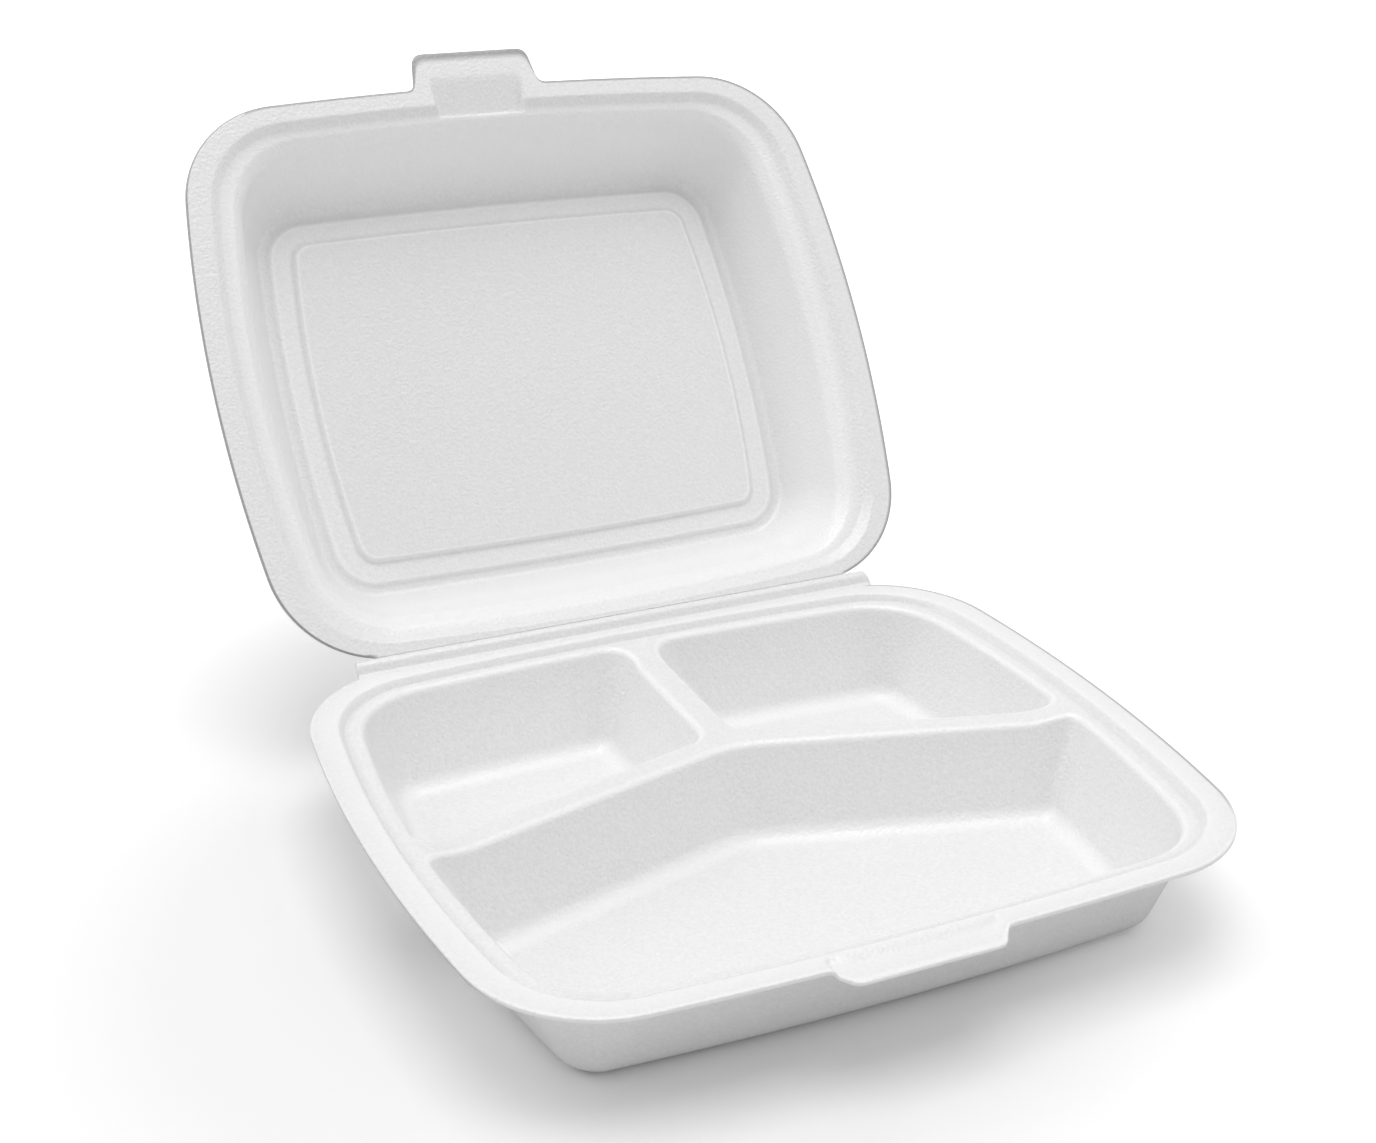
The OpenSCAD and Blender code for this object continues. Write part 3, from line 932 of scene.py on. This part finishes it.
@dataclass
class Lid:
    """The lid: flange, stepped rim, drafted walls, bordered top and the tab with its pocket."""

    sizes: BoxSizes
    lip_round: float = 0.8
    step_round: float = 1.3
    # The wall turns out of the ledge in two soft bends, the second one drawn in over the hollow.
    wall_round: float = 1.6
    bend_round: float = 3.6
    bend_share: float = 0.12
    bend_in: float = 1.6
    # Where the softened step leaves the plain one: its foot goes in and the ledge slants.
    foot_in: float = 0.9
    ledge_slant: float = 0.7
    panel_round: float = 0.4
    # Painted highlight on the raised edges of the top, and the width over which it fades.
    panel_painted_highlight: float = 0.7
    fade: float = 1.1
    # Painted light makes the drawn walls whiter, and painted shade makes the pressed field of the top a
    # little greyer.
    wall_painted_light: float = 0.9
    field_painted_shade: float = -0.07
    # Painted shade in the creases at the feet of the top's two steps.
    crease_painted_shade: float = -0.2
    # Width of the crushed rim that the cutting die leaves at the edge, greyed further as painted shade
    # along the outline, on the left and on the right, and the places along the width between which
    # one turns into the other.
    cut_shade_w: tuple[float, float] = (0.55, 0.85)
    cut_shade_turn_x: tuple[float, float] = (-100.0, -60.0)
    # How far the rim moves towards the fold, where its flange is narrow, and the heights above the
    # flange and places along the depth between which that fades out and sets in.
    fold_shift: float = 1.8
    shift_z: tuple[float, float] = (4.0, 18.0)
    shift_y: tuple[float, float] = (50.0, 80.0)
    # Rows after the first one at full width that still belong to the food side.
    edge_rows: int = 3
    # Shares from the middle of the top at which there are rings; the first closes the middle.
    middle_shares: tuple[float, ...] = (1.0e-5, 0.35, 0.7)

    def rows(self) -> Array:
        """Rows from the middle of the food side, round the flange's edge, to the outside's middle.

        Returns:
            One row of sizes per ring.
        """
        s = self.sizes
        base = s.tray_h + s.fold_gap
        middle_shares = (*self.middle_shares, 1 - self.fade / s.band_half_w)

        def side(sheet: float) -> tuple[Array, list[float]]:
            """Rows of one face from the middle to the flange's inner edge.

            Args:
                sheet: distance of the face from the food side.

            Returns:
                The rows, and the round at each.
            """
            # Painted highlight on the raised edges, painted light on the walls, painted shade on the
            # field and in the creases, all on the food side only.
            white, walls, pressed, crease_shade = (skin if sheet == 0 else 0.0 for skin in (
                self.panel_painted_highlight, self.wall_painted_light, self.field_painted_shade, self.crease_painted_shade))
            shift = s.step_shift_share * sheet
            grow = s.wall_shift_share * sheet / 2
            top, ledge = base + s.lid_depth + sheet, base + s.step_drop + sheet
            band = top - s.band_rise
            low = band - s.field_rise
            inner = -s.band_border - grow
            wall_top = s.lid_wall_row(0, grow, ledge + self.ledge_slant, walls)
            foot = s.step_run + self.foot_in - shift
            step_foot = s.lid_row(s.flange_side_w + foot, s.flange_end_w + foot, ledge)
            ledge_rows = between(wall_top, step_foot, count=4, first=0.45, last=0.65)
            bend_z = ledge + self.bend_share * (top - ledge)
            wall_bend = s.lid_wall_row(self.bend_share, grow - self.bend_in, bend_z, walls)
            nodes = np.array([
                *(s.band_row(inner, low, share, pressed) for share in middle_shares),
                s.band_row(inner, low, skin=white), s.band_row(inner + s.panel_run, band, skin=crease_shade),
                s.band_row(inner + s.panel_run + self.fade, band),
                s.band_row(-grow - self.fade, band), s.band_row(-grow, band, skin=white),
                s.band_row(s.panel_run - grow, top, skin=crease_shade),
                s.lid_wall_row(1, grow, top), s.lid_wall_row(0.5, grow, (top + ledge) / 2, walls),
                wall_bend, wall_top, *ledge_rows, step_foot,
                s.lid_row(s.flange_side_w - shift, s.flange_end_w - shift, base + sheet)])
            panel = [self.panel_round] * 2
            return nodes, [*[0.0] * len(middle_shares), *panel, 0.0, 0.0, *panel, s.groove_round, 0.0,
                           self.bend_round, self.wall_round, *[0.0] * len(ledge_rows),
                           self.step_round, self.step_round]

        food, food_r = side(0.0)
        out, out_r = side(s.lid_sheet)
        edge, edge_out = s.lid_row(0, 0, base), s.lid_row(0, 0, base + s.lid_sheet)
        fine = between(food[-1], edge, count=14, first=0.15, last=0.8)
        fine_out = between(edge_out, out[-1], count=14)
        nodes = np.concatenate([food, fine, [edge, edge_out], fine_out, out[::-1]])
        radii = [*food_r, *[0.0] * len(fine), self.lip_round, self.lip_round,
                 *[0.0] * len(fine_out), *out_r[::-1]]
        return rounded_path(nodes, radii[1:-1])

    def rings(self, rows: Array) -> Array:
        """Rings of the closed lid with its fold edge, tab and pocket.

        The pocket lifts the sheet to its own floor wherever that is higher, so the step runs out
        into it.

        Args:
            rows: rows of the lid.

        Returns:
            Rings by points by 3, in the lid's closed place over the tray.
        """
        s = self.sizes
        tab = Tab(s.latch_x, s.lid_tab_w / 2, s.lid_tab_out, s.tab_flare / 2)
        spread = Spread.for_latch(s.latch_x, tab.reach, s.half_w - s.corner_r)
        rings = outline_rings(rows, spread)
        full = s.lid_row(0, 0, 0)
        share = np.clip(1 - (full[HALF_D] - rows[:, HALF_D])[:, None] / s.flange_end_w, 0.0, 1.0)
        rings[..., 1] += s.lid_inset / 2
        edge = outline_rings(full[None], spread)[0, :, :2] + np.array([0.0, s.lid_inset / 2])
        base = s.tray_h + s.fold_gap
        near = 1 - ramp(rows[:, HEIGHT:] - base, self.shift_z)
        rings[..., 1] += self.fold_shift * near * (1 - share) * ramp(rings[..., 1], self.shift_y)
        rings[..., 1] -= np.maximum(edge[:, 1] - s.fold_y, 0.0) * share
        rings[..., :2] += tab.moves(edge) * share[..., None]
        front_y = s.lid_inset - s.half_d
        x, y = np.abs(rings[..., 0] - s.latch_x), rings[..., 1]
        shares = np.stack([smooth((s.pocket_w / 2 - x) / s.pocket_slant),
                           np.clip((front_y + s.pocket_in - y) / s.pocket_slant, 0.0, 1.0),
                           soft_ramp((y - front_y + s.pocket_out) / s.pocket_ramp)])
        drop = s.pocket_drop * shares.min(0)
        hair = 1.0e-6
        widest = int(np.argmax(rows[:, HALF_W] >= full[HALF_W] - hair))
        outside = (np.arange(len(rows)) > widest + self.edge_rows)[:, None]
        floor = base + np.where(outside, s.lid_sheet, 0.0) + drop
        rings[..., 2] = np.where((y < 0) & (drop > 0), np.maximum(rings[..., 2], floor), rings[..., 2])
        return rings

    def opened(self, points: Array) -> Array:
        """Turns the closed lid back about the fold axis to where it stands.

        Args:
            points: points of the closed lid, points by 3.

        Returns:
            The points of the open lid.
        """
        s = self.sizes
        a = math.radians(-s.open_angle)
        y, z = points[:, 1] - s.axis[0], points[:, 2] - s.axis[1]
        return np.column_stack([points[:, 0], s.axis[0] + y * math.cos(a) - z * math.sin(a),
                                s.axis[1] + y * math.sin(a) + z * math.cos(a)])

    def build(self) -> bpy.types.Object:
        """Makes the lid's mesh in its open place.

        Returns:
            The lid.
        """
        s = self.sizes
        rows = self.rows()
        rings = self.rings(rows)
        edge = rings[np.argmax(rows[:, HALF_W])]
        # The crushed cut edge, greyed further as painted shade along the outline.
        left, right = self.cut_shade_w
        width = left + (right - left) * ramp(edge[:, 0], self.cut_shade_turn_x)
        at_edge = s.lid_row(0, 0, 0)[HALF_W] - rows[:, HALF_W:HALF_W + 1] < width
        off_fold = smooth((s.fold_y - edge[:, 1]) / left)
        sheet = SheetMesh()
        sheet.grid(rings, np.where(at_edge, -off_fold, rows[:, SKIN:SKIN + 1]))
        return sheet.build("foam_lid", self.opened)


@dataclass
class FoldBead:
    """The pressed bead along the tray's back edge that the lid folds round."""

    sizes: BoxSizes
    # Length over which the ends are drawn in, how deep in the flange to, and points of the ends and
    # of the run between them, which has this half length.
    taper: float = 1.2
    core: float = 1.0
    end_steps: int = 12
    run_steps: int = 15
    run_half: float = 70.0
    # How far the root reaches onto the flange, is sunk in its faces, stands up on it and slants.
    root_in: float = 1.8
    root_sink: float = 0.3
    root_lift: float = 0.03
    root_slant: float = 0.1
    # Room between the bead and the circle in which the lid's edge swings.
    clear: float = 0.06
    # Angles round the fold axis: top of the front face, the groove along the top, and the back.
    bends: tuple[float, ...] = (124.0, 97.0, 90.0, 83.0, 52.0, 22.0)
    groove_bend: int = 2
    groove: float = 0.45
    hollow_bends: tuple[float, ...] = (22.0, 54.0, 118.0)
    # Rounds of the section's corners, from the root's top to its underside.
    rounds: tuple[float, ...] = (0.1, 0.5, 0.7, 0.15, 0.15, 0.15, 0.6, *[0.3] * 5, 0.1)
    round_steps: int = 5

    def section(self) -> Array:
        """Closed section as (y, z) points: root on the flange, front face, top, hollow back.

        Returns:
            Points by 2.
        """
        s = self.sizes
        outer = s.fold_r - self.clear
        inner = s.fold_r - s.fold_gap - s.bead_sheet

        def around(radius: Array | float, degrees: Sequence[float]) -> Array:
            """Points round the fold axis."""
            angles = np.radians(degrees)
            return s.axis + np.stack([radius * np.cos(angles), radius * np.sin(angles)], 1)

        radius = np.full(len(self.bends), outer)
        radius[self.groove_bend] -= self.groove
        root, top = s.fold_y - self.root_in, s.tray_h + self.root_lift
        low = s.tray_h - s.tray_sheet + self.root_sink
        nodes = np.concatenate([
            [[root, s.tray_h - self.root_sink], [root + self.root_slant, top], [s.axis[0] - outer, top]],
            around(radius, self.bends), around(inner, self.hollow_bends),
            [[s.axis[0] - inner, s.tray_h], [s.axis[0] - inner, low], [root, low]]])
        return rounded_path(nodes, self.rounds, self.round_steps)

    def build(self) -> bpy.types.Object:
        """Carries the section along the fold, drawn in to its root at both ends.

        Returns:
            The bead.
        """
        s = self.sizes
        half = s.bead_len / 2
        x = np.concatenate([np.linspace(-half, self.taper - half, self.end_steps),
                            np.linspace(-self.run_half, self.run_half, self.run_steps),
                            np.linspace(half - self.taper, half, self.end_steps)])
        past = np.clip((np.abs(x) - half + self.taper) / self.taper, 0.0, 1.0)
        share = np.sqrt(1 - past**2)[:, None, None]
        core = np.array([s.fold_y, s.tray_h]) - self.core
        drawn = core + (self.section() - core) * share
        along = np.broadcast_to(x[:, None, None], (*drawn.shape[:2], 1))
        sheet = SheetMesh()
        sheet.grid(np.concatenate([along, drawn], -1))
        return sheet.build("fold_bead", lambda points: points)


def linear(hex_colour: str) -> tuple[float, float, float, float]:
    """Linear colour of an sRGB hex value, by the sRGB curve.

    Args:
        hex_colour: the value, such as f4f4f2.

    Returns:
        Red, green, blue and alpha.
    """
    srgb = np.array([int(hex_colour[i:i + 2], 16) for i in (0, 2, 4)]) / 255
    lin = np.where(srgb <= 0.04045, srgb / 12.92, ((srgb + 0.055) / 1.055)**2.4)
    return (*(float(v) for v in lin), 1.0)


def empty_tree(owner: bpy.types.Material | bpy.types.World) -> bpy.types.NodeTree:
    """Turns on the nodes of a material or a world, with none in them yet.

    Args:
        owner: the material or world.

    Returns:
        Its node tree.
    """
    owner.use_nodes = True
    owner.node_tree.nodes.clear()
    return owner.node_tree


def add_node(tree: bpy.types.NodeTree, kind: str, settings: dict[str, object] | None = None,
             **inputs: object) -> bpy.types.Node:
    """Adds a shader node with its settings and inputs.

    Args:
        tree: node tree.
        kind: Blender's node type.
        settings: attributes of the node.
        **inputs: value or output socket for each input, with _ for a space in its name, or i and
            its number.

    Returns:
        The node.
    """
    node = tree.nodes.new(kind)
    for key, value in (settings or {}).items():
        setattr(node, key, value)
    for key, value in inputs.items():
        numbered = key[0] == "i" and key[1:].isdigit()
        socket = node.inputs[int(key[1:]) if numbered else key.replace("_", " ")]
        if isinstance(value, bpy.types.NodeSocket):
            tree.links.new(value, socket)
        else:
            socket.default_value = value
    return node


@dataclass(frozen=True)
class FoamFinish:
    """Thermoformed polystyrene foam: a matt white skin over closed cells.

    The skin is smooth but not glossy, and the cells under it show as a fine even grain, which the
    eye sees as a soft dimpling on broad faces and as a broad dull sheen on the bends. The skin's
    colour carries painted light: it is whiter as painted highlights on bends and raised edges and as
    painted light on the lid's walls, and greyer as painted shade in creases and on the lid's field.
    It also greys where the cutting die crushes it, darkened further there as painted shade along the
    outline.
    """

    name: str = "thermoformed polystyrene foam"
    # The skin over the cells and over the walls between them.
    colours: tuple[str, str] = ("fcfcfc", "ececec")
    # Colours that the skin's state mixes towards: white for painted highlights and painted light, grey
    # for the crushed edge with painted shade and for painted shade in creases and on the lid's field.
    painted_white: str = "ffffff"
    crushed_and_shade: str = "a4a4a4"
    roughness: float = 0.34
    coat: float = 0.4
    coat_roughness: float = 0.16
    ior: float = 1.59
    # Cells are about 0.4 mm; the grain is drawn over twice as wide so that the render shows it.
    cell_mm: float = 1.05
    depth_mm: float = 0.3
    # Levels of finer grain in the noise, and how strong each is beside the last.
    finer: float = 1.0
    finer_share: float = 0.6

    def build(self) -> bpy.types.Material:
        """Makes the material.

        Returns:
            The material.
        """
        material = bpy.data.materials.new(self.name)
        tree = empty_tree(material)
        where = add_node(tree, "ShaderNodeTexCoord").outputs["Object"]
        cells = add_node(tree, "ShaderNodeTexNoise", None, Vector=where, Scale=1 / (self.cell_mm * MM),
                         Detail=self.finer, Roughness=self.finer_share).outputs["Fac"]
        bump = add_node(tree, "ShaderNodeBump", None, Height=cells, Strength=1.0,
                        Distance=self.depth_mm * MM)
        # The skin's state paints light and shade into the base colour.
        state = add_node(tree, "ShaderNodeAttribute", {"attribute_name": SKIN_AND_PAINTED_LIGHT}).outputs["Fac"]
        crush_and_shade = add_node(tree, "ShaderNodeMath", {"operation": "MULTIPLY"}, i0=state, i1=-1.0)
        colour, *others = map(linear, (*self.colours, self.painted_white, self.crushed_and_shade))
        for share, other in zip((cells, state, crush_and_shade.outputs[0]), others):
            colour = add_node(tree, "ShaderNodeMix", {"data_type": "RGBA"}, i0=share, i6=colour,
                              i7=other).outputs[2]
        skin = add_node(tree, "ShaderNodeBsdfPrincipled", None, Base_Color=colour,
                        Roughness=self.roughness, IOR=self.ior, Normal=bump.outputs["Normal"],
                        Coat_Weight=self.coat, Coat_Roughness=self.coat_roughness)
        add_node(tree, "ShaderNodeOutputMaterial", None, Surface=skin.outputs[0])
        return material


@dataclass
class Studio:
    """White floor and surroundings, soft lamps and the camera at the photograph's angle."""

    azimuth: float = -26.63
    elevation: float = 25.01
    roll: float = 2.10
    distance_mm: float = 631.1
    target_mm: tuple[float, float, float] = (-8.54, 35.42, 81.47)
    focal_px: float = 2152.0
    photo_w_px: float = 1376.0
    sensor_mm: float = 36.0
    # Half the floor's length, and the share of light that it gives back to the container.
    floor_half_m: float = 6.0
    paper_white: float = 0.82
    # The floor glows to the camera round its shadow, painted light that lifts the floor's shade away
    # from the tray, the lid's shadow and the far floor with it: middle of the shadow, then the distances
    # from it between which a glow sets in, and the glow's strength.
    shadow_m: tuple[float, float, float] = (-0.07, -0.02, 0.0)
    painted_glows: tuple[tuple[float, float, float], ...] = ((0.11, 0.25, 0.28), (0.6, 2.0, 0.8))
    # Light from the surroundings, which the camera and reflections see as white.
    surround: float = 0.43
    # Side of the square soft lamps and the point that they look at; name, place and watts of each.
    lamp_m: float = 2.2
    aim_m: tuple[float, float, float] = (0.0, 0.06, 0.05)
    lamps: tuple[tuple[str, tuple[float, float, float], float], ...] = (
        ("overhead softbox", (0.0, 0.06, 3.05), 36.0),
        ("left rear softbox", (-1.99, 1.21, 1.98), 20.0),
        ("right front softbox", (1.99, -1.09, 1.98), 7.3))

    def camera(self) -> None:
        """Places the camera on its sphere round the target, with its roll."""
        az, el, ro = (math.radians(v) for v in (self.azimuth, self.elevation, self.roll))
        back = np.array([math.sin(az) * math.cos(el), -math.cos(az) * math.cos(el), math.sin(el)])
        right = np.array([math.cos(az), math.sin(az), 0.0])
        up = np.cross(back, right)
        tilted = math.cos(ro) * right + math.sin(ro) * up
        risen = -math.sin(ro) * right + math.cos(ro) * up
        spot = (np.array(self.target_mm) + back * self.distance_mm) * MM
        data = bpy.data.cameras.new("camera")
        data.sensor_width = self.sensor_mm
        data.lens = self.focal_px * self.sensor_mm / self.photo_w_px
        data.clip_start = 0.01
        data.dof.use_dof = False
        camera = add_object("camera", data)
        put(camera, (tilted, risen, back), spot)
        bpy.context.scene.camera = camera

    def floor(self) -> None:
        """Adds a white floor that keeps the tray's shadow and is white to the camera elsewhere, by a
        painted glow that covers the lid's shadow too.
        """
        half = self.floor_half_m
        mesh = bpy.data.meshes.new("floor")
        corners = [(-half, -half, 0), (half, -half, 0), (half, half, 0), (-half, half, 0)]
        mesh.from_pydata(corners, [], [(0, 1, 2, 3)])
        obj = add_object("floor", mesh)
        material = bpy.data.materials.new("white paper sweep")
        tree = empty_tree(material)
        seen = add_node(tree, "ShaderNodeLightPath").outputs["Is Camera Ray"]
        white = add_node(tree, "ShaderNodeMapRange", None, Value=seen, To_Min=self.paper_white,
                         To_Max=1.0)
        paper = add_node(tree, "ShaderNodeBsdfDiffuse", None, Color=white.outputs[0])
        # Painted glow: the floor's shade is lifted to the camera away from the tray.
        where = add_node(tree, "ShaderNodeTexCoord").outputs["Object"]
        away = add_node(tree, "ShaderNodeVectorMath", {"operation": "DISTANCE"}, i0=where,
                        i1=self.shadow_m)
        near, far = (add_node(tree, "ShaderNodeMapRange", None, Value=away.outputs["Value"],
                              From_Min=start, From_Max=end, To_Min=0.0, To_Max=strength).outputs[0]
                     for start, end, strength in self.painted_glows)
        painted_glow = add_node(tree, "ShaderNodeMath", {"operation": "ADD"}, i0=near, i1=far)
        shown = add_node(tree, "ShaderNodeMath", {"operation": "MULTIPLY"}, i0=seen, i1=painted_glow.outputs[0])
        lift = add_node(tree, "ShaderNodeEmission", None, Color=linear("ffffff"),
                        Strength=shown.outputs[0])
        both = add_node(tree, "ShaderNodeAddShader", None, i0=paper.outputs[0], i1=lift.outputs[0])
        add_node(tree, "ShaderNodeOutputMaterial", None, Surface=both.outputs[0])
        mesh.materials.append(material)

    def lamp(self, name: str, spot: tuple[float, float, float], watts: float) -> None:
        """Adds a soft lamp that looks at the container.

        Args:
            name: name of the lamp.
            spot: where it hangs, in metres.
            watts: its power.
        """
        data = bpy.data.lights.new(name, "AREA")
        data.size, data.energy = self.lamp_m, watts
        back = np.array(spot) - np.array(self.aim_m)
        back /= np.linalg.norm(back)
        right = np.cross([0.0, 1.0, 0.0], back)
        right /= np.linalg.norm(right)
        put(add_object(name, data), (right, np.cross(back, right), back), spot)

    def light(self) -> None:
        """Sets a dim white world that the camera sees as white, and hangs the soft lamps."""
        world = bpy.data.worlds.new("white studio")
        bpy.context.scene.world = world
        tree = empty_tree(world)
        rays = add_node(tree, "ShaderNodeLightPath").outputs
        direct = rays["Is Camera Ray"]
        for kind in ("Is Glossy Ray", "Is Transmission Ray"):
            direct = add_node(tree, "ShaderNodeMath", {"operation": "MAXIMUM"}, i0=direct,
                              i1=rays[kind]).outputs[0]
        level = add_node(tree, "ShaderNodeMapRange", None, Value=direct, To_Min=self.surround,
                         To_Max=1.0)
        sky = add_node(tree, "ShaderNodeBackground", None, Color=linear("ffffff"),
                       Strength=level.outputs[0])
        add_node(tree, "ShaderNodeOutputWorld", None, Surface=sky.outputs[0])
        for name, spot, watts in self.lamps:
            self.lamp(name, spot, watts)

    def build(self) -> None:
        """Sets up the whole studio."""
        bpy.context.scene.view_settings.view_transform = "Standard"
        self.camera()
        self.floor()
        self.light()


def main() -> None:
    """Builds the container and its studio."""
    logging.basicConfig(level=logging.INFO, format="%(message)s")
    bpy.ops.wm.read_factory_settings(use_empty=True)
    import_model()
    sizes = BoxSizes()
    foam = FoamFinish().build()
    tray, lid, bead = Tray(sizes).build(), Lid(sizes).build(), FoldBead(sizes).build()
    for obj, body, nodes in ((tray, "tray", ("tray",)), (lid, "lid", ("lid",)), (bead, "tray", ())):
        obj.data.materials.append(foam)
        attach(obj, body)
        if nodes:
            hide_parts(*nodes)
        LOG.info("%s rides on %s", obj.name, body)
    Studio().build()


if __name__ == "__main__":
    main()
